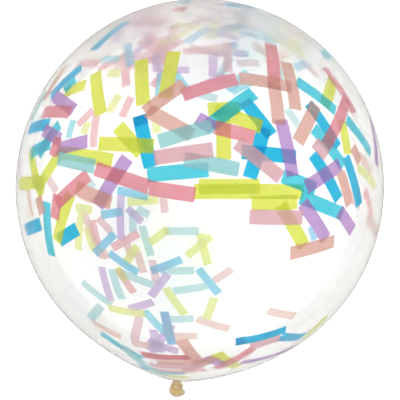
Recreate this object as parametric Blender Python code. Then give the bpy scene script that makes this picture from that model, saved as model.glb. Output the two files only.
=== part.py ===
"""A large round party balloon of clear latex, air filled and tied, lying on its side.

The balloon is one dipped piece of latex: skin, neck, knot, tail and rolled lip. It is closed,
so it is one solid here. Its axis runs along Y, with the crown at +Y and the knot at -Y, and it
stands on a small flat patch at Z = 0, under its middle.
"""

import math

import bmesh
import bpy
from mathutils import Matrix, Vector

# Skin, in metres, measured from the widest ring
SKIN_RADIUS = 0.300
CROWN_HEIGHT = 0.3075
BASE_HEIGHT = 0.304
TAPER_RISE = 0.030
TAPER_RADIUS = 0.200
FLOOR_PATCH_DIAMETER = 0.076

# Neck, pinched shut by the knot
NECK_RADIUS = 0.0070
NECK_FILLET = 0.0050
NECK_LENGTH = 0.0020

# Knot: one turn of the gathered neck, drawn tight round itself
KNOT_STRAND_RADIUS = 0.0046
KNOT_TURN_RADIUS = 0.0052
KNOT_CORE_RADIUS = 0.0056

# Tail: the end of the neck, folded up beyond the knot and spread open at its lip
TAIL_LEAN = math.radians(18)
TAIL_LENGTH = 0.0170
TAIL_ROOT_RADIUS = 0.0050
TAIL_FLARE = 1.8
MOUTH_HALF_WIDTH = 0.0119
MOUTH_HALF_HEIGHT = 0.0113
MOUTH_DEPTH = 0.0060
THROAT_RADIUS = 0.0030
LIP_RADIUS = 0.0014

# The lip is folded in at one side of the mouth
FOLD_TURN = math.radians(16)
FOLD_SPREAD = math.radians(28)
FOLD_SHARE = 0.30

# Facets
SKIN_SIDES = 64
PROFILE_STEPS = 15
FILLET_STEPS = 4
KNOT_SIDES = 24
STRAND_SIDES = 10
MOUTH_SIDES = 32
TAIL_STEPS = 6

# Where things meet
CENTRE_HEIGHT = math.sqrt(SKIN_RADIUS**2 - (FLOOR_PATCH_DIAMETER / 2) ** 2)
SHOULDER_RADIUS = NECK_RADIUS + NECK_FILLET


def clear_scene():
    for found in list(bpy.data.objects):
        bpy.data.objects.remove(found)


def latex_material():
    """Clear latex with a faint warm cast."""
    material = bpy.data.materials.new("clear_latex")
    material.use_nodes = True
    shader = material.node_tree.nodes["Principled BSDF"]
    shader.inputs["Base Color"].default_value = (0.93, 0.93, 0.90, 1.0)
    shader.inputs["Roughness"].default_value = 0.12
    shader.inputs["Metallic"].default_value = 0.0
    shader.inputs["Alpha"].default_value = 0.35
    return material


def base_reach(radius):
    """How far the skin's lower half reaches down the axis at this radius."""
    round_part = BASE_HEIGHT * math.sqrt(1 - (radius / SKIN_RADIUS) ** 2)
    taper = TAPER_RISE * max(0.0, 1 - radius / TAPER_RADIUS) ** 2
    return round_part + taper


def neck_end():
    """Where the neck goes into the knot, along the axis."""
    return -base_reach(SHOULDER_RADIUS) - NECK_FILLET - NECK_LENGTH


def knot_centre():
    return Vector((0, neck_end() + NECK_LENGTH - KNOT_STRAND_RADIUS, 0))


def skin_profile():
    """(radius, place along the axis) from the crown's pole to the neck's cut end."""
    points = []
    for step in range(PROFILE_STEPS + 1):
        turn = 0.5 * math.pi * step / PROFILE_STEPS
        points.append((SKIN_RADIUS * math.sin(turn), CROWN_HEIGHT * math.cos(turn)))
    last_turn = math.asin(SHOULDER_RADIUS / SKIN_RADIUS)
    for step in range(1, PROFILE_STEPS + 1):
        turn = 0.5 * math.pi + (last_turn - 0.5 * math.pi) * step / PROFILE_STEPS
        radius = SKIN_RADIUS * math.sin(turn)
        points.append((radius, -base_reach(radius)))
    shoulder = -base_reach(SHOULDER_RADIUS)
    for step in range(1, FILLET_STEPS + 1):
        turn = 0.5 * math.pi * step / FILLET_STEPS
        radius = SHOULDER_RADIUS - NECK_FILLET * math.sin(turn)
        points.append((radius, shoulder - NECK_FILLET * (1 - math.cos(turn))))
    points.append((NECK_RADIUS, neck_end()))
    points.append((0.0, neck_end()))
    return points


def finished_mesh(shape, name):
    """Closes off a bmesh with its faces pointing out, as a named mesh."""
    bmesh.ops.recalc_face_normals(shape, faces=shape.faces)
    mesh = bpy.data.meshes.new(name)
    shape.to_mesh(mesh)
    shape.free()
    mesh.shade_smooth()
    return mesh


def turned_shape(profile, sides):
    """A solid turned about the balloon's axis from (radius, place along the axis) points."""
    shape = bmesh.new()
    line = [shape.verts.new((radius, along, 0)) for radius, along in profile]
    edges = [shape.edges.new(pair) for pair in zip(line, line[1:])]
    bmesh.ops.spin(
        shape,
        geom=line + edges,
        cent=(0, 0, 0),
        axis=(0, 1, 0),
        angle=2 * math.pi,
        steps=sides,
        use_merge=True,
    )
    bmesh.ops.remove_doubles(shape, verts=shape.verts, dist=1e-6)
    return shape


def lofted_shape(rings, closed):
    """A solid skinned over rings of points, capped at its ends unless it closes on itself."""
    shape = bmesh.new()
    loops = []
    for ring in rings:
        points = [shape.verts.new(point) for point in ring]
        pairs = zip(points, points[1:] + points[:1])
        loops.append([shape.edges.new(pair) for pair in pairs])
    followers = loops[1:] + loops[:1] if closed else loops[1:]
    for loop, next_loop in zip(loops, followers):
        bmesh.ops.bridge_loops(shape, edges=loop + next_loop)
    if not closed:
        bmesh.ops.contextual_create(shape, geom=loops[0])
        bmesh.ops.contextual_create(shape, geom=loops[-1])
    return shape


def press_on_floor(shape):
    """Cuts the skin flat where it presses on the floor."""
    cut = bmesh.ops.bisect_plane(
        shape,
        geom=shape.verts[:] + shape.edges[:] + shape.faces[:],
        plane_co=(0, 0, -CENTRE_HEIGHT),
        plane_no=(0, 0, -1),
        clear_outer=True,
    )
    rim = [part for part in cut["geom_cut"] if isinstance(part, bmesh.types.BMEdge)]
    bmesh.ops.contextual_create(shape, geom=rim)


def add_skin(material):
    """The skin and neck, with the place of its middle above the floor."""
    shape = turned_shape(skin_profile(), SKIN_SIDES)
    press_on_floor(shape)
    mesh = finished_mesh(shape, "balloon")
    mesh.set_sharp_from_angle(angle=math.radians(30))
    mesh.materials.append(material)
    skin = bpy.data.objects.new("balloon", mesh)
    skin.location = (0, 0, CENTRE_HEIGHT)
    bpy.context.scene.collection.objects.link(skin)
    return skin


def join_to(skin, name, shape):
    """Joins a closed piece to the skin, so that the latex stays one solid."""
    helper = bpy.data.objects.new(name, finished_mesh(shape, name))
    helper.location = skin.location
    helper.hide_render = True
    helper.display_type = "WIRE"
    bpy.context.scene.collection.objects.link(helper)
    union = skin.modifiers.new(name, "BOOLEAN")
    union.operation = "UNION"
    union.solver = "EXACT"
    union.object = helper


def knot_turn():
    """The strand's turn round the neck: a ring about the balloon's axis."""
    section = []
    for step in range(STRAND_SIDES + 1):
        turn = 2 * math.pi * step / STRAND_SIDES
        radius = KNOT_TURN_RADIUS + KNOT_STRAND_RADIUS * math.cos(turn)
        section.append((radius, KNOT_STRAND_RADIUS * math.sin(turn)))
    shape = turned_shape(section, KNOT_SIDES)
    shape.transform(Matrix.Translation(knot_centre()))
    return shape


def knot_core():
    """The pinched neck inside the turn, showing a little past both its sides."""
    reach = KNOT_STRAND_RADIUS + NECK_LENGTH
    profile = [
        (0.0, reach),
        (KNOT_CORE_RADIUS, reach),
        (KNOT_CORE_RADIUS, -reach),
        (0.0, -reach),
    ]
    shape = turned_shape(profile, KNOT_SIDES)
    shape.transform(Matrix.Translation(knot_centre()))
    return shape


def tail_place():
    """The tail's own frame: its Z runs from the knot to the mouth, leaning off the skin."""
    return Matrix.Translation(knot_centre()) @ Matrix.Rotation(TAIL_LEAN, 4, "X")


def mouth_ring(half_width, half_height, height, fold):
    """A ring round the tail's Z, folded in at one side by a share of its radius."""
    ring = []
    for side in range(MOUTH_SIDES):
        turn = 2 * math.pi * side / MOUTH_SIDES
        off_fold = math.remainder(turn - FOLD_TURN, 2 * math.pi)
        size = 1 - fold * math.exp(-((off_fold / FOLD_SPREAD) ** 2))
        across = half_width * size * math.cos(turn)
        up = half_height * size * math.sin(turn)
        ring.append(Vector((across, up, height)))
    return ring


def tail():
    """The spread end of the neck, with the dish of its mouth."""
    rings = []
    for step in range(TAIL_STEPS + 1):
        share = step / TAIL_STEPS
        flare = share**TAIL_FLARE
        half_width = TAIL_ROOT_RADIUS + (MOUTH_HALF_WIDTH - TAIL_ROOT_RADIUS) * flare
        half_height = TAIL_ROOT_RADIUS + (MOUTH_HALF_HEIGHT - TAIL_ROOT_RADIUS) * flare
        height = TAIL_LENGTH * share
        rings.append(mouth_ring(half_width, half_height, height, FOLD_SHARE * flare))
    dish = TAIL_LENGTH - MOUTH_DEPTH
    rings.append(mouth_ring(THROAT_RADIUS, THROAT_RADIUS, dish, 0))
    shape = lofted_shape(rings, closed=False)
    shape.transform(tail_place())
    return shape


def lip():
    """The rolled bead round the mouth."""
    path = mouth_ring(MOUTH_HALF_WIDTH, MOUTH_HALF_HEIGHT, TAIL_LENGTH, FOLD_SHARE)
    rings = []
    for before, here, after in zip(path[-1:] + path[:-1], path, path[1:] + path[:1]):
        outward = (after - before).cross(Vector((0, 0, 1))).normalized()
        ring = []
        for side in range(STRAND_SIDES):
            turn = 2 * math.pi * side / STRAND_SIDES
            off = outward * math.cos(turn) + Vector((0, 0, math.sin(turn)))
            ring.append(here + LIP_RADIUS * off)
        rings.append(ring)
    shape = lofted_shape(rings, closed=True)
    shape.transform(tail_place())
    return shape


def build_balloon():
    clear_scene()
    skin = add_skin(latex_material())
    join_to(skin, "join_knot_core", knot_core())
    join_to(skin, "join_knot_turn", knot_turn())
    join_to(skin, "join_tail", tail())
    join_to(skin, "join_lip", lip())


build_balloon()
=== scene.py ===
"""A large clear party balloon with tissue paper confetti inside, lying on its side.

The camera looks straight down on it, so that the knot shows at the lower left.
"""

import math
import random

import bpy
from mathutils import Matrix, Vector
from mathutils.bvhtree import BVHTree


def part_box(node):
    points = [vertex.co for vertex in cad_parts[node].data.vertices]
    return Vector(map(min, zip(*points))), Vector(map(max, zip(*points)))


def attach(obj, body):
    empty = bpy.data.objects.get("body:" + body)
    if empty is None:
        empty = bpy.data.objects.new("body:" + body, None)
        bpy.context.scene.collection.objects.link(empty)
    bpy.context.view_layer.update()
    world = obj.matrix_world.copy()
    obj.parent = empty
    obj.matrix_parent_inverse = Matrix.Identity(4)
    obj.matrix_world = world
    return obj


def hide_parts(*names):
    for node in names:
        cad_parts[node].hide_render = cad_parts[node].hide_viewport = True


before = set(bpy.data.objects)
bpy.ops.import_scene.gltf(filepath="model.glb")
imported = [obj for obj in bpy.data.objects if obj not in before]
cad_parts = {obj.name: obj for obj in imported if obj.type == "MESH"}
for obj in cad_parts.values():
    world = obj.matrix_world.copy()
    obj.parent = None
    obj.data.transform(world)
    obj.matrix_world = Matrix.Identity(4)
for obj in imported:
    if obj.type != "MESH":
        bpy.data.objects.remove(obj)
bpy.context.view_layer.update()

# The balloon's own frame: its axis runs along Y through its middle, the crown at +Y.
# The middle is the centre of its widest ring, one skin radius below the highest point.
balloon_low, balloon_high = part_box("balloon")
SKIN_RADIUS = balloon_high.x
CROWN_HEIGHT = balloon_high.y
MIDDLE = Vector((0, 0, balloon_high.z - SKIN_RADIUS))


# The camera hangs above the balloon's middle and looks straight down.
# It is turned a little, so that the knot shows at the lower left as in the picture.
CAMERA_RISE = 0.96
PHOTO_SIDE = 400
FOCAL_PIXELS = 560
PHOTO_MIDDLE_X = 199.75
PHOTO_MIDDLE_Y = 187.5
PHOTO_LEAN = math.radians(6.7)
SENSOR_WIDTH = 36

bpy.ops.object.camera_add(
    location=MIDDLE + Vector((0, 0, CAMERA_RISE)), rotation=(0, 0, PHOTO_LEAN)
)
camera = bpy.context.object
camera.data.sensor_width = SENSOR_WIDTH
camera.data.lens = SENSOR_WIDTH * FOCAL_PIXELS / PHOTO_SIDE
camera.data.shift_x = (PHOTO_SIDE / 2 - PHOTO_MIDDLE_X) / PHOTO_SIDE
camera.data.shift_y = (PHOTO_MIDDLE_Y - PHOTO_SIDE / 2) / PHOTO_SIDE
bpy.context.scene.camera = camera


# The floor is a plain pale light table of matt board, just below the balloon's flat patch.
# Soft white studio light falls on it evenly from all round.
FLOOR_SIDE = 12
FLOOR_DROP = 0.0003
FLOOR_COLOUR = (0.90, 0.90, 0.90, 1)
FLOOR_SHADE = (0.87, 0.87, 0.87, 1)
FLOOR_GRAIN_SCALE = 30
FLOOR_GLOW = 0.53
FLOOR_ROUGHNESS = 0.9
STUDIO_COLOUR = (1, 1, 1, 1)
STUDIO_STRENGTH = 0.85
CLEAR_BOUNCES = 48
SURFACE_BOUNCES = 24


def new_material(name):
    """A material with one Principled shader, and the means to link nodes to it."""
    material = bpy.data.materials.new(name)
    material.use_nodes = True
    return material, material.node_tree, material.node_tree.nodes["Principled BSDF"]


def add_node(tree, kind, **values):
    """A new node with these input values, named as its sockets are."""
    node = tree.nodes.new(kind)
    for name, value in values.items():
        node.inputs[name.replace("_", " ")].default_value = value
    return node


def mix_colours(tree, share, first, second):
    """A colour between two others, which are sockets or plain colours."""
    mix = tree.nodes.new("ShaderNodeMix")
    mix.data_type = "RGBA"
    tree.links.new(share, mix.inputs["Factor"])
    for colour, socket in ((first, mix.inputs[6]), (second, mix.inputs[7])):
        if isinstance(colour, tuple):
            socket.default_value = colour
        else:
            tree.links.new(colour, socket)
    return mix.outputs[2]


bpy.ops.mesh.primitive_plane_add(size=FLOOR_SIDE, location=(0, 0, -FLOOR_DROP))
floor = bpy.context.object
floor.name = "floor"
floor_material, tree, shader = new_material("pale_floor")
place = add_node(tree, "ShaderNodeTexCoord")
grain = add_node(tree, "ShaderNodeTexNoise", Scale=FLOOR_GRAIN_SCALE)
tree.links.new(place.outputs["Object"], grain.inputs["Vector"])
colour = mix_colours(tree, grain.outputs["Fac"], FLOOR_SHADE, FLOOR_COLOUR)
tree.links.new(colour, shader.inputs["Base Color"])
shader.inputs["Roughness"].default_value = FLOOR_ROUGHNESS
shader.inputs["Specular IOR Level"].default_value = 0.0
shader.inputs["Emission Color"].default_value = STUDIO_COLOUR
shader.inputs["Emission Strength"].default_value = FLOOR_GLOW
floor.data.materials.append(floor_material)

world = bpy.data.worlds.new("studio")
bpy.context.scene.world = world
world.use_nodes = True
world.node_tree.nodes["Background"].inputs["Color"].default_value = STUDIO_COLOUR
world.node_tree.nodes["Background"].inputs["Strength"].default_value = STUDIO_STRENGTH

bpy.context.scene.view_settings.view_transform = "Standard"
cycles = bpy.context.scene.cycles
cycles.max_bounces = CLEAR_BOUNCES
cycles.transmission_bounces = CLEAR_BOUNCES
cycles.transparent_max_bounces = CLEAR_BOUNCES
cycles.diffuse_bounces = SURFACE_BOUNCES
cycles.glossy_bounces = SURFACE_BOUNCES


# The skin is blown latex, stretched clear and thin: a sphere drawn out a little to the neck.
# It is dipped in one with the neck and the mouth, which stay thick and amber, and near the
# neck it is drawn into small gathers.
BASE_HEIGHT = 0.304
TAPER_RISE = 0.030
TAPER_RADIUS = 0.200
NECK_RADIUS = 0.0070
NECK_FILLET = 0.0050
NECK_LENGTH = 0.0020
SHOULDER_RADIUS = NECK_RADIUS + NECK_FILLET
FILM_THICKNESS = 0.0002
SKIN_SIDES = 160
SKIN_RINGS = 80
FILLET_STEPS = 6
GATHERS = 20
GATHER_DEPTH = 0.09
GATHER_REACH = 0.030
GATHER_MIDDLE = 0.5
GATHER_SWING = 0.36
WIDE_FOLDS = 7
WIDE_FOLD_SHARE = 0.4
WIDE_FOLD_PHASE = 1
MERGE_DISTANCE = 1e-6
ON_AXIS = 1e-5


def base_reach(radius):
    """How far the skin's lower half reaches down the axis at this radius."""
    round_part = BASE_HEIGHT * math.sqrt(max(0.0, 1 - (radius / SKIN_RADIUS) ** 2))
    return round_part + TAPER_RISE * max(0.0, 1 - radius / TAPER_RADIUS) ** 2


def start_edit(select="NONE"):
    """Opens the active object in edit mode, with nothing or all of it selected."""
    bpy.ops.object.mode_set(mode="EDIT")
    bpy.ops.mesh.select_mode(type="VERT")
    bpy.ops.mesh.select_all(action="DESELECT" if select == "NONE" else "SELECT")


def pick_vertices(piece, wanted):
    """In edit mode, selects the vertices whose place passes the test."""
    bpy.ops.mesh.select_all(action="DESELECT")
    bpy.ops.object.mode_set(mode="OBJECT")
    for vertex in piece.data.vertices:
        vertex.select = wanted(vertex.co)
    bpy.ops.object.mode_set(mode="EDIT")


def settle(piece, name):
    """Names a finished piece and puts its place into its mesh."""
    if bpy.context.object.mode == "EDIT":
        bpy.ops.object.mode_set(mode="OBJECT")
    bpy.ops.object.select_all(action="DESELECT")
    piece.select_set(True)
    bpy.context.view_layer.objects.active = piece
    bpy.ops.object.transform_apply(location=True, rotation=True, scale=True)
    piece.name = name
    piece.data.name = name


def close_up():
    """In edit mode, merges what meets and turns all faces outwards."""
    bpy.ops.mesh.select_all(action="SELECT")
    bpy.ops.mesh.remove_doubles(threshold=MERGE_DISTANCE)
    bpy.ops.mesh.normals_make_consistent(inside=False)


bpy.ops.object.select_all(action="DESELECT")
bpy.ops.mesh.primitive_circle_add(vertices=2 * SKIN_RINGS, radius=SKIN_RADIUS)
skin = bpy.context.object
start_edit("ALL")
bpy.ops.mesh.bisect(plane_co=(0, 0, 0), plane_no=(1, 0, 0), clear_inner=True)
pick_vertices(skin, lambda place: place.y < 0 and place.x < SHOULDER_RADIUS)
bpy.ops.mesh.delete(type="VERT")
bpy.ops.object.mode_set(mode="OBJECT")
for vertex in skin.data.vertices:
    if vertex.co.y > 0:
        vertex.co.y *= CROWN_HEIGHT / SKIN_RADIUS
    else:
        vertex.co.y = -base_reach(vertex.co.x)
    if vertex.co.x < ON_AXIS:
        vertex.co.x = 0
lowest = min(skin.data.vertices, key=lambda vertex: vertex.co.y).co.copy()
start_edit()
pick_vertices(skin, lambda place: (place - lowest).length < MERGE_DISTANCE)
shoulder = -base_reach(SHOULDER_RADIUS)
neck_line = [Vector((SHOULDER_RADIUS, shoulder, 0))]
for step in range(1, FILLET_STEPS + 1):
    turn = 0.5 * math.pi * step / FILLET_STEPS
    neck_line.append(
        Vector(
            (
                SHOULDER_RADIUS - NECK_FILLET * math.sin(turn),
                shoulder - NECK_FILLET * (1 - math.cos(turn)),
                0,
            )
        )
    )
neck_line.append(Vector((NECK_RADIUS, shoulder - NECK_FILLET - NECK_LENGTH, 0)))
here = lowest
for place in neck_line:
    bpy.ops.mesh.extrude_region_move(TRANSFORM_OT_translate={"value": place - here})
    here = place
bpy.ops.mesh.select_all(action="SELECT")
bpy.ops.mesh.spin(steps=SKIN_SIDES, angle=2 * math.pi, center=(0, 0, 0), axis=(0, 1, 0))
close_up()
bpy.ops.object.mode_set(mode="OBJECT")
for vertex in skin.data.vertices:
    nearness = max(0.0, 1 - (vertex.co.y - shoulder) / GATHER_REACH)
    if vertex.co.y > 0 or nearness == 0.0:
        continue
    turn = math.atan2(vertex.co.z, vertex.co.x)
    wide_fold = WIDE_FOLD_SHARE * math.cos(WIDE_FOLDS * turn + WIDE_FOLD_PHASE)
    ripple = math.cos(GATHERS * turn) + wide_fold
    depth = GATHER_DEPTH * min(nearness, 1.0) ** 2
    fold = 1 - depth * (GATHER_MIDDLE + GATHER_SWING * ripple)
    vertex.co.x *= fold
    vertex.co.z *= fold
skin.location = MIDDLE
settle(skin, "balloon_skin")
for vertex in skin.data.vertices:
    vertex.co.z = max(vertex.co.z, 0.0)
bpy.ops.object.modifier_add(type="SOLIDIFY")
skin.modifiers["Solidify"].thickness = FILM_THICKNESS
skin.modifiers["Solidify"].offset = -1
bpy.ops.object.modifier_apply(modifier="Solidify")
bpy.ops.object.shade_smooth()


CLOUD_DETAIL = 4.0
CLOUD_ROUGHNESS = 0.55
CLOUD_LOW = 0.3
CLOUD_HIGH = 0.7
CLOUD_SPREAD = 0.15
FINE_GRAIN_SCALE = 900.0
FINE_GRAIN_DETAIL = 3.0


def new_group(name, inputs, outputs):
    """A node group with these sockets, its two ends, and the place on the object."""
    group = bpy.data.node_groups.new(name, "ShaderNodeTree")
    for in_out, sockets in (("INPUT", inputs), ("OUTPUT", outputs)):
        for socket_name, kind in sockets.items():
            group.interface.new_socket(
                name=socket_name, in_out=in_out, socket_type=f"NodeSocket{kind}"
            )
    given = group.nodes.new("NodeGroupInput")
    result = group.nodes.new("NodeGroupOutput")
    place = group.nodes.new("ShaderNodeTexCoord")
    return group, given, result, place


def latex_group():
    """Latex as dipped: thin and thick clouds in its colour, and a fine uneven surface."""
    group, given, result, place = new_group(
        "dipped_latex",
        {
            "Thin colour": "Color",
            "Thick colour": "Color",
            "Thickness": "Float",
            "Cloud size": "Float",
        },
        {"Colour": "Color", "Clouds": "Float", "Surface height": "Float"},
    )
    clouds = add_node(
        group, "ShaderNodeTexNoise", Detail=CLOUD_DETAIL, Roughness=CLOUD_ROUGHNESS
    )
    group.links.new(place.outputs["Object"], clouds.inputs["Vector"])
    group.links.new(given.outputs["Cloud size"], clouds.inputs["Scale"])
    spread = add_node(group, "ShaderNodeMapRange", From_Min=CLOUD_LOW, From_Max=CLOUD_HIGH)
    spread.inputs["To Min"].default_value = -CLOUD_SPREAD
    spread.inputs["To Max"].default_value = CLOUD_SPREAD
    group.links.new(clouds.outputs["Fac"], spread.inputs["Value"])
    share = group.nodes.new("ShaderNodeMath")
    share.operation = "ADD"
    share.use_clamp = True
    group.links.new(given.outputs["Thickness"], share.inputs[0])
    group.links.new(spread.outputs["Result"], share.inputs[1])
    colour = mix_colours(
        group, share.outputs["Value"], given.outputs["Thin colour"], given.outputs["Thick colour"]
    )
    group.links.new(colour, result.inputs["Colour"])
    group.links.new(clouds.outputs["Fac"], result.inputs["Clouds"])
    fine = add_node(
        group, "ShaderNodeTexNoise", Scale=FINE_GRAIN_SCALE, Detail=FINE_GRAIN_DETAIL
    )
    group.links.new(place.outputs["Object"], fine.inputs["Vector"])
    group.links.new(fine.outputs["Fac"], result.inputs["Surface height"])
    return group


dipped_latex = latex_group()


def add_latex(tree, thin_colour, thick_colour, cloud_size):
    """The dipped latex in a material, from its thin colour to its thick one."""
    latex = tree.nodes.new("ShaderNodeGroup")
    latex.node_tree = dipped_latex
    latex.inputs["Thin colour"].default_value = thin_colour
    latex.inputs["Thick colour"].default_value = thick_colour
    latex.inputs["Cloud size"].default_value = cloud_size
    return latex


def add_bump(tree, shader, height, strength, distance):
    """Makes a surface as uneven as this height says."""
    bump = add_node(tree, "ShaderNodeBump", Strength=strength, Distance=distance)
    tree.links.new(height, bump.inputs["Height"])
    tree.links.new(bump.outputs["Normal"], shader.inputs["Normal"])


def place_along_axis(tree, from_y, to_y, amount, least=0.0):
    """A soft step along the balloon's axis, from least at one place to the amount at another."""
    place = tree.nodes.new("ShaderNodeTexCoord")
    parts = tree.nodes.new("ShaderNodeSeparateXYZ")
    tree.links.new(place.outputs["Object"], parts.inputs["Vector"])
    step = add_node(tree, "ShaderNodeMapRange", From_Min=from_y, From_Max=to_y, To_Max=amount)
    step.inputs["To Min"].default_value = least
    step.interpolation_type = "SMOOTHSTEP"
    tree.links.new(parts.outputs["Y"], step.inputs["Value"])
    return step.outputs["Result"]


def add_up(tree, *parts):
    """The sum of some values, held between 0 and 1."""
    total = parts[0]
    for part in parts[1:]:
        add = tree.nodes.new("ShaderNodeMath")
        add.operation = "ADD"
        add.use_clamp = True
        for socket, value in ((add.inputs[0], total), (add.inputs[1], part)):
            if isinstance(value, float):
                socket.default_value = value
            else:
                tree.links.new(value, socket)
        total = add.outputs["Value"]
    return total


FILM_CLEAR = (1.0, 1.0, 0.995, 1)
FILM_AMBER = (0.90, 0.72, 0.42, 1)
FILM_HAZE = 0.22
LIMB_HAZE = 0.15
CROWN_HAZE = 0.32
CROWN_CALM = -0.26
NECK_HAZE = 0.45
CROWN_HAZE_FROM = 0.36
CROWN_HAZE_TO = 0.80
FILM_TINT = (0.10, 0.10, 0.02, 1)
FILM_DENSITY = 200.0
FILM_CLOUD_SIZE = 9.0
FILM_SMOOTHEST = 0.56
FILM_ROUGHEST = 0.68
FILM_BUMP = 0.10
FILM_BUMP_HEIGHT = 0.0001
FILM_IOR = 1.15
AMBER_FROM = shoulder + 0.016
AMBER_LEAST = -0.15
AMBER_MOST = 0.9
NECK_HAZE_FROM = shoulder + 0.012
NECK_END = shoulder - NECK_FILLET
EVEN_BLEND = 0.5
LIMB_FROM = 0.45

film, tree, shader = new_material("clear_latex_film")
latex = add_latex(tree, FILM_CLEAR, FILM_AMBER, FILM_CLOUD_SIZE)
amber = place_along_axis(tree, AMBER_FROM, NECK_END, AMBER_MOST, least=AMBER_LEAST)
tree.links.new(amber, latex.inputs["Thickness"])
tree.links.new(latex.outputs["Colour"], shader.inputs["Base Color"])
from_y = CROWN_HAZE_FROM * CROWN_HEIGHT
to_y = CROWN_HAZE_TO * CROWN_HEIGHT
roughness = add_node(
    tree, "ShaderNodeMapRange", To_Min=FILM_SMOOTHEST, To_Max=FILM_ROUGHEST
)
tree.links.new(latex.outputs["Clouds"], roughness.inputs["Value"])
roughness_total = add_up(
    tree, roughness.outputs["Result"], place_along_axis(tree, from_y, to_y, CROWN_CALM)
)
tree.links.new(roughness_total, shader.inputs["Roughness"])
slant = add_node(tree, "ShaderNodeLayerWeight", Blend=EVEN_BLEND)
limb = add_node(
    tree, "ShaderNodeMapRange", From_Min=LIMB_FROM, From_Max=1.0, To_Max=LIMB_HAZE
)
limb.interpolation_type = "SMOOTHSTEP"
tree.links.new(slant.outputs["Facing"], limb.inputs["Value"])
haze = add_up(
    tree,
    limb.outputs["Result"],
    FILM_HAZE,
    place_along_axis(tree, from_y, to_y, CROWN_HAZE),
    place_along_axis(tree, NECK_HAZE_FROM, NECK_END, NECK_HAZE),
)
tree.links.new(haze, shader.inputs["Alpha"])
add_bump(tree, shader, latex.outputs["Surface height"], FILM_BUMP, FILM_BUMP_HEIGHT)
shader.inputs["IOR"].default_value = FILM_IOR
shader.inputs["Transmission Weight"].default_value = 1.0
inside = add_node(tree, "ShaderNodeVolumeAbsorption", Color=FILM_TINT, Density=FILM_DENSITY)
tree.links.new(inside.outputs["Volume"], tree.nodes["Material Output"].inputs["Volume"])
skin.data.materials.append(film)
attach(skin, "root")
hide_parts("balloon")


# The knot is the neck itself, rolled to a strand, passed round once and drawn tight.
# Its turns are pressed into each other and wrinkled where the rubber is bunched up.
KNOT_STRAND_RADIUS = 0.0046
KNOT_TURN_RADIUS = 0.0052
KNOT_CORE_RADIUS = 0.0056
KNOT_TILT = math.radians(9)
CROSSING_TILT = math.radians(52)
CROSSING_TURN = math.radians(20)
CROSSING_SHIFT = Vector((0.0012, 0, 0.0008))
CROSSING_SPREAD = 1.02
CROSSING_SHARE = 0.66
STRAND_SEGMENTS = 48
STRAND_SIDES = 24
CORE_SIDES = 40
KNOT_VOXEL = 0.0004
KNOT_LUMPS = 0.0009
KNOT_LUMP_SIZE = 0.0035
KNOT_LUMP_LEVEL = 0.6
KNOT_SMOOTHING = 4
ALONG_AXIS = math.radians(90)

knot_middle = MIDDLE + Vector((0, shoulder - NECK_FILLET - KNOT_STRAND_RADIUS, 0))


def join_pieces(pieces, name):
    """One object of these pieces, with this name."""
    bpy.ops.object.select_all(action="DESELECT")
    for piece in pieces:
        piece.select_set(True)
    bpy.context.view_layer.objects.active = pieces[0]
    bpy.ops.object.join()
    joined = bpy.context.object
    joined.name = name
    joined.data.name = name
    return joined


bpy.ops.mesh.primitive_torus_add(
    location=knot_middle,
    rotation=(ALONG_AXIS + KNOT_TILT, 0, 0),
    major_radius=KNOT_TURN_RADIUS,
    minor_radius=KNOT_STRAND_RADIUS,
    major_segments=STRAND_SEGMENTS,
    minor_segments=STRAND_SIDES,
)
knot_turn = bpy.context.object
bpy.ops.mesh.primitive_torus_add(
    location=knot_middle + CROSSING_SHIFT,
    rotation=(ALONG_AXIS, CROSSING_TILT, CROSSING_TURN),
    major_radius=KNOT_TURN_RADIUS * CROSSING_SPREAD,
    minor_radius=KNOT_STRAND_RADIUS * CROSSING_SHARE,
    major_segments=STRAND_SEGMENTS,
    minor_segments=STRAND_SIDES,
)
knot_crossing = bpy.context.object
bpy.ops.mesh.primitive_cone_add(
    location=knot_middle,
    rotation=(ALONG_AXIS, 0, 0),
    radius1=KNOT_CORE_RADIUS,
    radius2=NECK_RADIUS,
    depth=2 * (KNOT_STRAND_RADIUS + NECK_LENGTH),
    vertices=CORE_SIDES,
)
knot_core = bpy.context.object
knot = join_pieces([knot_turn, knot_crossing, knot_core], "knot")
settle(knot, "knot")
bpy.ops.object.modifier_add(type="REMESH")
knot.modifiers["Remesh"].mode = "VOXEL"
knot.modifiers["Remesh"].voxel_size = KNOT_VOXEL
bpy.ops.object.modifier_apply(modifier="Remesh")
lumps = bpy.data.textures.new("bunched_rubber", "CLOUDS")
lumps.noise_scale = KNOT_LUMP_SIZE
bpy.ops.object.modifier_add(type="DISPLACE")
knot.modifiers["Displace"].texture = lumps
knot.modifiers["Displace"].strength = KNOT_LUMPS
knot.modifiers["Displace"].mid_level = KNOT_LUMP_LEVEL
bpy.ops.object.modifier_apply(modifier="Displace")
bpy.ops.object.modifier_add(type="SMOOTH")
knot.modifiers["Smooth"].iterations = KNOT_SMOOTHING
bpy.ops.object.modifier_apply(modifier="Smooth")
bpy.ops.object.shade_smooth()

PALE_AMBER_THIN = (1.0, 0.92, 0.72, 1)
PALE_AMBER_THICK = (0.94, 0.78, 0.48, 1)
GLOSS_SPREAD = 0.1
THICK_BUMP = 0.35
THICK_BUMP_HEIGHT = 0.0002
LATEX_IOR = 1.4


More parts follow.
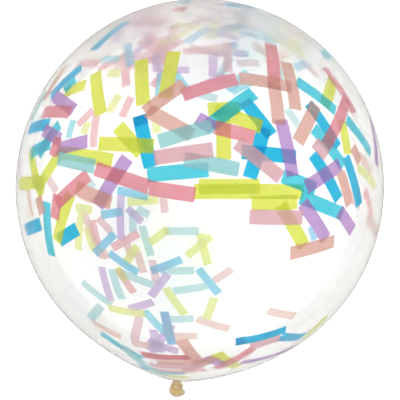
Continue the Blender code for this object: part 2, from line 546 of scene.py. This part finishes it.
def thick_latex(name, thin_colour, thick_colour, thickness, cloud_size, roughness, clearness):
    """Unstretched latex, cloudy and amber."""
    material, tree, shader = new_material(name)
    latex = add_latex(tree, thin_colour, thick_colour, cloud_size)
    latex.inputs["Thickness"].default_value = thickness
    tree.links.new(latex.outputs["Colour"], shader.inputs["Base Color"])
    gloss = add_node(
        tree,
        "ShaderNodeMapRange",
        To_Min=roughness - GLOSS_SPREAD,
        To_Max=roughness + GLOSS_SPREAD,
    )
    tree.links.new(latex.outputs["Clouds"], gloss.inputs["Value"])
    tree.links.new(gloss.outputs["Result"], shader.inputs["Roughness"])
    add_bump(tree, shader, latex.outputs["Surface height"], THICK_BUMP, THICK_BUMP_HEIGHT)
    shader.inputs["IOR"].default_value = LATEX_IOR
    shader.inputs["Transmission Weight"].default_value = clearness
    return material


knotted_latex = thick_latex(
    "knotted_latex",
    PALE_AMBER_THIN,
    PALE_AMBER_THICK,
    thickness=0.40,
    cloud_size=260.0,
    roughness=0.50,
    clearness=0.30,
)
knot.data.materials.append(knotted_latex)
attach(knot, "root")
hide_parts("balloon")


# The tail is the end of the neck beyond the knot, open like a small trumpet.
# Pleats run up it from the knot, and one side of its mouth is folded in.
TAIL_LEAN = math.radians(11)
TAIL_SWING = math.radians(5)
TAIL_LENGTH = 0.0170
TAIL_ROOT_RADIUS = 0.0070
TAIL_FLARE = 0.8
MOUTH_HALF_WIDTH = 0.0117
MOUTH_HALF_HEIGHT = 0.0114
FOLD_TURN = math.radians(20)
FOLD_SPREAD = math.radians(22)
FOLD_SHARE = 0.34
CURL_TURN = math.radians(-20)
CURL_SPREAD = math.radians(26)
CURL_SHARE = 0.18
SQUARE_SHARE = 0.20
TAIL_WALL = 0.0006
TAIL_SIDES = 96
TAIL_STEPS = 14
PLEATS = 9
PLEAT_DEPTH = 0.10
PLEAT_PHASE = 0.6
MOUTH_WAVES = 5
MOUTH_WAVE = 0.02
MOUTH_WAVE_PHASE = 2
AMBER_THIN = (1.0, 0.90, 0.60, 1)
AMBER_THICK = (0.95, 0.70, 0.26, 1)

tail_turn = Matrix.Rotation(TAIL_SWING, 4, "Y") @ Matrix.Rotation(TAIL_LEAN, 4, "X")
tail_place = Matrix.Translation(knot_middle) @ tail_turn


def tail_point(turn, share):
    """A point of the tail's wall, by the turn round it and the share of the way to the mouth."""
    flare = share**TAIL_FLARE
    half_width = TAIL_ROOT_RADIUS + (MOUTH_HALF_WIDTH - TAIL_ROOT_RADIUS) * flare
    half_height = TAIL_ROOT_RADIUS + (MOUTH_HALF_HEIGHT - TAIL_ROOT_RADIUS) * flare
    off_fold = math.remainder(turn - FOLD_TURN, 2 * math.pi)
    fold = FOLD_SHARE * flare * math.exp(-((off_fold / FOLD_SPREAD) ** 2))
    off_curl = math.remainder(turn - CURL_TURN, 2 * math.pi)
    curl = CURL_SHARE * flare * math.exp(-((off_curl / CURL_SPREAD) ** 2))
    pleat = PLEAT_DEPTH * (1 - share) * (0.5 + 0.5 * math.cos(PLEATS * turn + PLEAT_PHASE))
    wave = MOUTH_WAVE * share * math.cos(MOUTH_WAVES * turn + MOUTH_WAVE_PHASE)
    square = SQUARE_SHARE * flare * max(0.0, math.sin(turn)) * math.sin(2 * turn) ** 2
    size = (1 - fold + curl + square) * (1 - pleat) * (1 + wave)
    return Vector(
        (half_width * size * math.cos(turn), half_height * size * math.sin(turn), TAIL_LENGTH * share)
    )


bpy.ops.object.select_all(action="DESELECT")
bpy.ops.mesh.primitive_circle_add(vertices=TAIL_SIDES, radius=TAIL_ROOT_RADIUS)
tail = bpy.context.object
start_edit("ALL")
for step in range(TAIL_STEPS):
    bpy.ops.mesh.extrude_region_move(
        TRANSFORM_OT_translate={"value": (0, 0, TAIL_LENGTH / TAIL_STEPS)}
    )
close_up()
bpy.ops.object.mode_set(mode="OBJECT")
for vertex in tail.data.vertices:
    turn = math.atan2(vertex.co.y, vertex.co.x)
    vertex.co = tail_place @ tail_point(turn, vertex.co.z / TAIL_LENGTH)
settle(tail, "tail")
start_edit("ALL")
bpy.ops.mesh.normals_make_consistent(inside=False)
bpy.ops.object.mode_set(mode="OBJECT")
bpy.ops.object.modifier_add(type="SOLIDIFY")
tail.modifiers["Solidify"].thickness = TAIL_WALL
tail.modifiers["Solidify"].offset = -1
bpy.ops.object.modifier_apply(modifier="Solidify")
bpy.ops.object.shade_smooth()
tail_latex = thick_latex(
    "amber_tail_latex",
    AMBER_THIN,
    AMBER_THICK,
    thickness=0.36,
    cloud_size=260.0,
    roughness=0.40,
    clearness=0.50,
)
tail.data.materials.append(tail_latex)
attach(tail, "root")
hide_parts("balloon")


# The roll is the rim of the mouth, rolled down on itself while the latex was wet.
# It is the thickest part of the balloon, and looks greyer than the wall inside it.
LIP_RADIUS = 0.0017
LIP_SIDES = 16
LIP_UNEVEN = 0.10
LIP_LUMPS = 6
LIP_LUMP_PHASE = 1
SMALL_TURN = 0.01
PULLED_TURN = math.radians(90)
PULLED_SPREAD = math.radians(48)
PULLED_SHARE = 0.72
ROLL_THIN = (0.86, 0.80, 0.64, 1)
ROLL_THICK = (0.70, 0.63, 0.46, 1)

bpy.ops.object.select_all(action="DESELECT")
bpy.ops.mesh.primitive_torus_add(
    major_radius=1.0,
    minor_radius=LIP_RADIUS,
    major_segments=TAIL_SIDES,
    minor_segments=LIP_SIDES,
)
mouth_roll = bpy.context.object
for vertex in mouth_roll.data.vertices:
    turn = math.atan2(vertex.co.y, vertex.co.x)
    off = math.hypot(vertex.co.x, vertex.co.y) - 1.0
    here = tail_point(turn, 1.0)
    along = tail_point(turn + SMALL_TURN, 1.0) - tail_point(turn - SMALL_TURN, 1.0)
    outward = along.cross(Vector((0, 0, 1))).normalized()
    pulled = PULLED_SHARE * math.exp(-(((turn - PULLED_TURN) / PULLED_SPREAD) ** 2))
    uneven = LIP_UNEVEN * math.cos(LIP_LUMPS * turn) * math.cos(turn + LIP_LUMP_PHASE)
    thickness = 1 - pulled + uneven
    offset = outward * off + Vector((0, 0, vertex.co.z))
    vertex.co = tail_place @ (here + offset * thickness)
settle(mouth_roll, "mouth_roll")
start_edit("ALL")
bpy.ops.mesh.normals_make_consistent(inside=False)
bpy.ops.object.mode_set(mode="OBJECT")
bpy.ops.object.shade_smooth()
roll_latex = thick_latex(
    "rolled_lip_latex",
    ROLL_THIN,
    ROLL_THICK,
    thickness=0.50,
    cloud_size=300.0,
    roughness=0.32,
    clearness=0.20,
)
mouth_roll.data.materials.append(roll_latex)
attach(mouth_roll, "root")
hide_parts("balloon")


# The confetti is cut tissue paper, dyed through, in eight colours, and light enough to cling
# to the inside of the skin. Most strips lie flat on it, one over another.
STRIP_LENGTH = 0.068
STRIP_WIDTH = 0.018
STRIP_THICKNESS = 0.0001
STRIP_PARTS = 8
FIRST_LIFT = 0.00025
LAYER_LIFT = 0.00015
MEETING_SHARE = 1.1

inner_wall = BVHTree.FromObject(skin, bpy.context.evaluated_depsgraph_get())


def sight_line(pixel):
    """The line of sight through a place in the picture."""
    across = (pixel[0] - PHOTO_MIDDLE_X) / FOCAL_PIXELS
    down = (pixel[1] - PHOTO_MIDDLE_Y) / FOCAL_PIXELS
    line = Matrix.Rotation(PHOTO_LEAN, 3, "Z") @ Vector((across, -down, -1))
    return camera.location.copy(), line.normalized()


def wall_at(pixel, far):
    """The point of the skin seen at a place in the picture, on its near or its far side."""
    eye, line = sight_line(pixel)
    from_middle = eye - MIDDLE
    nearest = -from_middle.dot(line)
    hit = inner_wall.ray_cast(eye, line)[0]
    if hit is None:
        return eye + line * nearest
    if far:
        beyond = eye + line * (2 * nearest + 1)
        hit = inner_wall.ray_cast(beyond, -line)[0]
    return hit


def on_wall(point, lift):
    """A point moved out from the balloon's middle until it is this far inside the skin."""
    outward = (point - MIDDLE).normalized()
    hit = inner_wall.ray_cast(MIDDLE, outward)[0]
    return hit - outward * lift


bpy.ops.object.select_all(action="DESELECT")
bpy.ops.mesh.primitive_cube_add(size=1)
cut_strip = bpy.context.object
cut_strip.name = "cut_strip"
cut_strip.dimensions = (STRIP_LENGTH, STRIP_WIDTH, STRIP_THICKNESS)
bpy.ops.object.transform_apply(location=True, rotation=True, scale=True)
start_edit("ALL")
bpy.ops.mesh.bisect(plane_co=(0, 0, 0), plane_no=(0, 1, 0))
for part in range(1, STRIP_PARTS):
    cut_at = STRIP_LENGTH * (part / STRIP_PARTS - 0.5)
    bpy.ops.mesh.select_all(action="SELECT")
    bpy.ops.mesh.bisect(plane_co=(cut_at, 0, 0), plane_no=(1, 0, 0))
bpy.ops.object.mode_set(mode="OBJECT")


def lay_strip(name, start, end, lift):
    """A copy of the cut strip, laid on the skin from one point to another."""
    strip = cut_strip.copy()
    strip.data = cut_strip.data.copy()
    strip.name = name
    bpy.context.scene.collection.objects.link(strip)
    along = end - start
    for vertex in strip.data.vertices:
        share = vertex.co.x / STRIP_LENGTH + 0.5
        middle_point = start + along * share
        side = along.cross(middle_point - MIDDLE).normalized()
        point = middle_point + side * vertex.co.y
        vertex.co = on_wall(point, lift + vertex.co.z)
    return strip


laid_strips = []


def next_layer(start, end):
    """The layer just inside all strips already laid that a strip from start to end meets."""
    line = [on_wall(start.lerp(end, step / STRIP_PARTS), 0) for step in range(STRIP_PARTS + 1)]
    layer = 0
    for other_line, other_layer in laid_strips:
        if any((a - b).length < STRIP_WIDTH * MEETING_SHARE for a in line for b in other_line):
            layer = max(layer, other_layer + 1)
    laid_strips.append((line, layer))
    return layer


NEAR_STRIPS = {
    "yellow": [
        ((85, 84), (64, 93)), ((57, 152), (112, 160.5)), ((59, 154), (37, 190)), ((30, 149), (41, 196)),
        ((18, 184), (44, 182)),
        ((95, 72), (100.5, 114)), ((141, 59), (143, 104.5)),
        ((174, 51), (165, 98)), ((98, 143.5), (153.5, 146)),
        ((117.5, 126), (141, 153)), ((199, 186.5), (260, 186.5)), ((194, 191.5), (252, 191.5)),
        ((251, 191), (304, 192)), ((252, 203.5), (298, 202)),
        ((208, 109), (240, 108)), ((214, 110), (262, 126.5)),
        ((223.5, 118), (224, 159)), ((333, 79), (325, 106)),
        ((342, 120), (348.5, 154)), ((281, 205), (305, 247)),
        ((70, 194), (56, 242)), ((217, 354), (237, 368)), ((304, 338), (327, 316)), ((152, 375), (188, 378)),
    ],
    "blue": [
        ((93, 50), (127, 21.5)), ((50, 96), (81, 66.5)),
        ((28.5, 129), (48.5, 124)), ((139, 115), (150.5, 167)),
        ((139, 115), (141, 125)), ((244.5, 100.5), (272, 135)),
        ((265, 127), (250, 178)), ((242, 151.5), (297, 157)),
        ((309, 103), (338.5, 147)), ((313.5, 154), (339.5, 199.5)), ((346.5, 156.5), (360, 205.5)),
        ((25, 230.5), (40, 224)), ((58, 241), (76.5, 229)),
        ((236, 342.5), (286, 330)), ((236, 342.5), (246, 340)),
        ((281, 337), (303, 337)), ((139, 367), (184.5, 374)), ((179, 2), (191, 2)), ((225, 5), (255, 8)),
    ],
    "aqua": [
        ((64, 90), (75, 78)), ((59, 124), (38, 155)),
        ((147, 175), (208.5, 169.5)), ((209.5, 125), (254, 92.5)),
        ((50, 143), (30, 153)),
        ((297, 81), (336, 110.5)), ((347, 119), (371, 153)),
        ((314, 128), (344, 166)), ((283, 176), (316, 189)),
        ((301, 197), (343, 214)), ((46, 202), (51, 256)), ((101, 334), (142, 359)), ((324, 56), (334, 47)),
    ],
    "pink": [
        ((43, 112), (70, 112)), ((58, 137), (52, 156)), ((182.5, 95), (237, 78.5)), ((95, 168.5), (149, 187)),
        ((149, 188), (195, 195)), ((215, 127), (254.5, 137.5)), ((271, 43.5), (274.5, 88.5)),
        ((324.5, 67.5), (354.5, 113)), ((347, 97), (326, 146)),
        ((88, 175), (56, 204)), ((57, 195), (54, 219)),
        ((141, 354.5), (190, 358.5)), ((143, 356), (191, 358)),
        ((216, 369), (253, 349)), ((173, 9), (185.5, 9)),
    ],
    "salmon": [
        ((66, 65), (44, 100)), ((145, 112), (184, 84)),
        ((147.5, 110.5), (192, 135)), ((239.5, 78), (292, 87)),
        ((274, 84), (279, 124)), ((286.5, 62), (296, 109.5)),
        ((316, 104.5), (298, 142)), ((353, 147), (360, 162)),
        ((341, 172), (350, 205)), ((290.5, 253.5), (334.5, 241)),
        ((38, 197), (42, 214)), ((181, 340), (203, 366)),
        ((157, 363), (206, 362)), ((183, 371), (216, 358)), ((76, 188), (111, 203)),
    ],
    "lilac": [
        ((53.5, 95), (73.5, 110)), ((43, 129.5), (59.5, 139.5)),
        ((57, 149), (87, 141)), ((197, 118), (214, 128)),
        ((127, 158), (97, 206)), ((281, 119.5), (293, 176)),
        ((370.5, 119), (377, 166)), ((340.5, 164.5), (306.5, 187)),
        ((303, 203), (326.5, 239)), ((340, 211), (353, 231)),
        ((205, 358), (226, 366)), ((241, 363), (294, 347)),
    ],
    "mint": [
        ((57.5, 158.5), (94.5, 166.5)), ((158.5, 141.5), (212, 126)),
        ((184, 159), (239, 169.5)), ((46, 91), (31, 121)),
        ((122, 346), (164, 376)),
    ],
    "blush": [
        ((154, 158), (213, 149.5)), ((237, 142.5), (281, 177.5)),
        ((315, 142), (327, 156)), ((250, 347), (280, 338)),
        ((150, 365), (203, 366)), ((156, 370), (206, 370)), ((249.5, 217), (303, 217.5)),
    ],
}
FAR_STRIPS = {
    "yellow": [
        ((165.5, 288), (185, 315)), ((108, 308), (145, 314)),
        ((187, 256), (211, 236)), ((200, 234), (208, 265)),
        ((214.5, 298), (206, 319.5)), ((83, 205), (78, 250)),
        ((127, 202), (158, 200)), ((150, 243), (168, 229)),
        ((86, 228), (94, 251)), ((24, 176), (28, 192)), ((88, 122), (83, 134)), ((119, 95), (109, 112)),
        ((156, 121), (157, 133)), ((358, 167), (376, 187)), ((75, 207), (92, 210)), ((108, 73), (120, 73)),
        ((226, 30), (240, 30)), ((288, 47), (300, 47)), ((272, 27), (285, 27)), ((125, 264), (137, 246)),
        ((117, 268), (126, 281)), ((210, 38), (216, 20)),
    ],
    "blue": [
        ((94.5, 254), (114.5, 234)), ((109, 253), (138, 273)),
        ((151, 271), (181.5, 259.5)), ((101, 215), (122, 211.5)),
        ((198.5, 269), (219, 294)), ((240, 34), (255, 35)),
        ((231, 44.5), (238, 44.5)), ((277, 36), (285, 37)),
        ((295, 68), (307, 62)), ((117, 190), (148, 197)), ((311, 226), (315, 240)), ((164, 312), (172, 345)),
    ],
    "aqua": [
        ((144, 311), (170, 337)), ((73, 120), (68, 138)), ((102, 59), (119, 59)), ((233, 14), (266, 14)),
    ],
    "pink": [
        ((112, 248), (138.5, 233.5)), ((92, 220), (98, 244)), ((118, 270), (134, 293)),
        ((98, 107), (93, 147)), ((93, 110), (78, 125)), ((131, 97), (122, 117)),
        ((365, 190), (372, 217)), ((77, 64), (99, 63)), ((126, 51), (126, 86)), ((174, 25), (172, 47)),
        ((148, 34), (162, 47)), ((183, 51), (208, 51)), ((227, 42), (228, 72)), ((150, 62), (182, 40)),
        ((140, 40), (170, 64)), ((160, 66), (166, 36)),
    ],
    "salmon": [
        ((174, 336), (197, 336)), ((197, 319), (229.5, 329)),
        ((268, 311), (295, 316)), ((84, 212), (103, 258)),
        ((132, 343), (152, 346)), ((137, 252), (144, 273)), ((126, 243), (132, 258)), ((28, 191), (32, 216)),
        ((92, 322), (121, 337)), ((72, 190), (92, 200)), ((103, 250), (107, 259)), ((359, 155), (372, 172)),
        ((366, 219), (377, 238)), ((344, 190), (360, 206)),
        ((118, 61), (118, 69)), ((218, 28.5), (229, 28.5)),
        ((231, 10), (254, 28)), ((152, 19), (169, 19)), ((303, 32), (313, 39)),
    ],
    "lilac": [
        ((121, 195), (121, 240)), ((150.5, 296.5), (168, 274)),
        ((129, 309), (153, 302)), ((164.5, 313), (173, 345)),
        ((127, 208), (142, 222)), ((153, 330), (160, 353)), ((20, 158), (20, 175)), ((201, 19), (213, 19)),
        ((213, 51), (213, 76)), ((235, 53), (247, 54)), ((156, 54), (157, 71)), ((101.5, 267), (111, 301)),
        ((150, 352), (172, 325)), ((148, 340), (178, 352)),
    ],
    "mint": [
        ((82, 282), (112, 305)), ((133, 210), (133, 233)), ((142, 226), (151, 256)), ((137, 209), (149, 215)),
        ((200, 94), (217, 99)), ((287, 109), (299, 126)), ((86, 178), (94, 188)), ((204, 35), (224, 35)),
        ((111.5, 269.5), (122, 299.5)), ((170, 319.5), (193.5, 318.5)), ((165, 231), (199, 231)),
        ((160, 270.5), (194, 270.5)), ((173, 291), (207, 286)),
        ((120, 272), (153, 285)), ((101, 306), (89.5, 319.5)),
    ],
    "blush": [
        ((139.5, 317), (134, 341)), ((98, 218), (111, 232)), ((163, 197), (165, 213)), ((237, 63), (259, 63)),
        ((302, 62), (318, 76)), ((48, 178), (57, 192)), ((214, 281), (232, 269)), ((152, 260), (157, 284)),
    ],
}
PAPER_COLOURS = {
    "blush": (1.0, 0.70, 0.75, 1),
    "mint": (0.57, 0.92, 0.94, 1),
    "salmon": (0.97, 0.65, 0.58, 1),
    "pink": (1.0, 0.48, 0.54, 1),
    "lilac": (0.74, 0.50, 0.86, 1),
    "aqua": (0.15, 0.82, 0.96, 1),
    "yellow": (0.95, 1.0, 0.22, 1),
    "blue": (0.04, 0.67, 0.97, 1),
}
CHALKY_PAPERS = ("blush", "mint")
CHALKY_CLEARNESS = 0.5
PAPER_CLEARNESS = 0.65
PAPER_ROUGHNESS = 0.4
PAPER_IOR = 1.2
PAPER_SHINE = 0.2
PAPER_BUMP = 0.15
PAPER_BUMP_HEIGHT = 0.0003
DYE_SPREAD = 0.12
DYE_LOW = 0.12
DYE_HIGH = 0.40


def tissue_group():
    """Tissue paper: long fibres and cloudy patches in its dye, and small soft creases."""
    group, given, result, place = new_group(
        "tissue_paper",
        {"Dye": "Color", "Pale dye": "Color"},
        {"Colour": "Color", "Crease height": "Float"},
    )
    patches = add_node(group, "ShaderNodeTexNoise", Scale=70.0, Detail=3.0)
    fibres = add_node(group, "ShaderNodeTexNoise", Scale=520.0, Detail=5.0, Distortion=1.2)
    creases = add_node(group, "ShaderNodeTexNoise", Scale=90.0, Detail=2.0, Distortion=0.8)
    for noise in (patches, fibres, creases):
        group.links.new(place.outputs["Object"], noise.inputs["Vector"])
    both = group.nodes.new("ShaderNodeMath")
    both.operation = "MULTIPLY"
    group.links.new(patches.outputs["Fac"], both.inputs[0])
    group.links.new(fibres.outputs["Fac"], both.inputs[1])
    share = add_node(group, "ShaderNodeMapRange", From_Min=DYE_LOW, From_Max=DYE_HIGH)
    group.links.new(both.outputs["Value"], share.inputs["Value"])
    colour = mix_colours(
        group, share.outputs["Result"], given.outputs["Dye"], given.outputs["Pale dye"]
    )
    group.links.new(colour, result.inputs["Colour"])
    group.links.new(creases.outputs["Fac"], result.inputs["Crease height"])
    return group


tissue_paper = tissue_group()


def tissue_material(colour_name):
    """Thin tissue paper of one colour, which lets light through."""
    material, tree, shader = new_material(f"tissue_{colour_name}")
    dye = PAPER_COLOURS[colour_name]
    paper = tree.nodes.new("ShaderNodeGroup")
    paper.node_tree = tissue_paper
    paper.inputs["Dye"].default_value = [part ** (1 + DYE_SPREAD) for part in dye]
    paper.inputs["Pale dye"].default_value = [part ** (1 - DYE_SPREAD) for part in dye]
    tree.links.new(paper.outputs["Colour"], shader.inputs["Base Color"])
    add_bump(tree, shader, paper.outputs["Crease height"], PAPER_BUMP, PAPER_BUMP_HEIGHT)
    shader.inputs["Roughness"].default_value = PAPER_ROUGHNESS
    shader.inputs["IOR"].default_value = PAPER_IOR
    shader.inputs["Specular IOR Level"].default_value = PAPER_SHINE
    clearness = CHALKY_CLEARNESS if colour_name in CHALKY_PAPERS else PAPER_CLEARNESS
    shader.inputs["Transmission Weight"].default_value = clearness
    return material


# More strips cling behind the crown, one over another, and blur into pale coloured patches.
CROWN_STRIPS = 5
CROWN_MIDDLE = (200, 52)
CROWN_SPREAD_X = 95
CROWN_SPREAD_Y = 36
CROWN_SEED = 4

scatter = random.Random(CROWN_SEED)


def crown_places():
    """The two ends of a strip that lies anyhow on the far wall behind the crown."""
    x = CROWN_MIDDLE[0] + CROWN_SPREAD_X * scatter.uniform(-1, 1)
    y = CROWN_MIDDLE[1] + CROWN_SPREAD_Y * scatter.uniform(-1, 1)
    middle_point = wall_at((x, y), True)
    outward = (middle_point - MIDDLE).normalized()
    heading = Matrix.Rotation(scatter.uniform(0, math.pi), 3, outward) @ outward.orthogonal()
    half = heading.normalized() * STRIP_LENGTH / 2
    return middle_point - half, middle_point + half


for colour_name in PAPER_COLOURS:
    ends = [crown_places() for _ in range(CROWN_STRIPS)]
    for far, places in ((False, NEAR_STRIPS[colour_name]), (True, FAR_STRIPS[colour_name])):
        ends += [(wall_at(start, far), wall_at(end, far)) for start, end in places]
    strips = []
    for start, end in ends:
        lift = FIRST_LIFT + LAYER_LIFT * next_layer(start, end)
        strips.append(lay_strip(colour_name, start, end, lift))
    confetti = join_pieces(strips, f"confetti_{colour_name}")
    confetti.data.materials.append(tissue_material(colour_name))
    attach(confetti, "root")
bpy.data.objects.remove(cut_strip)
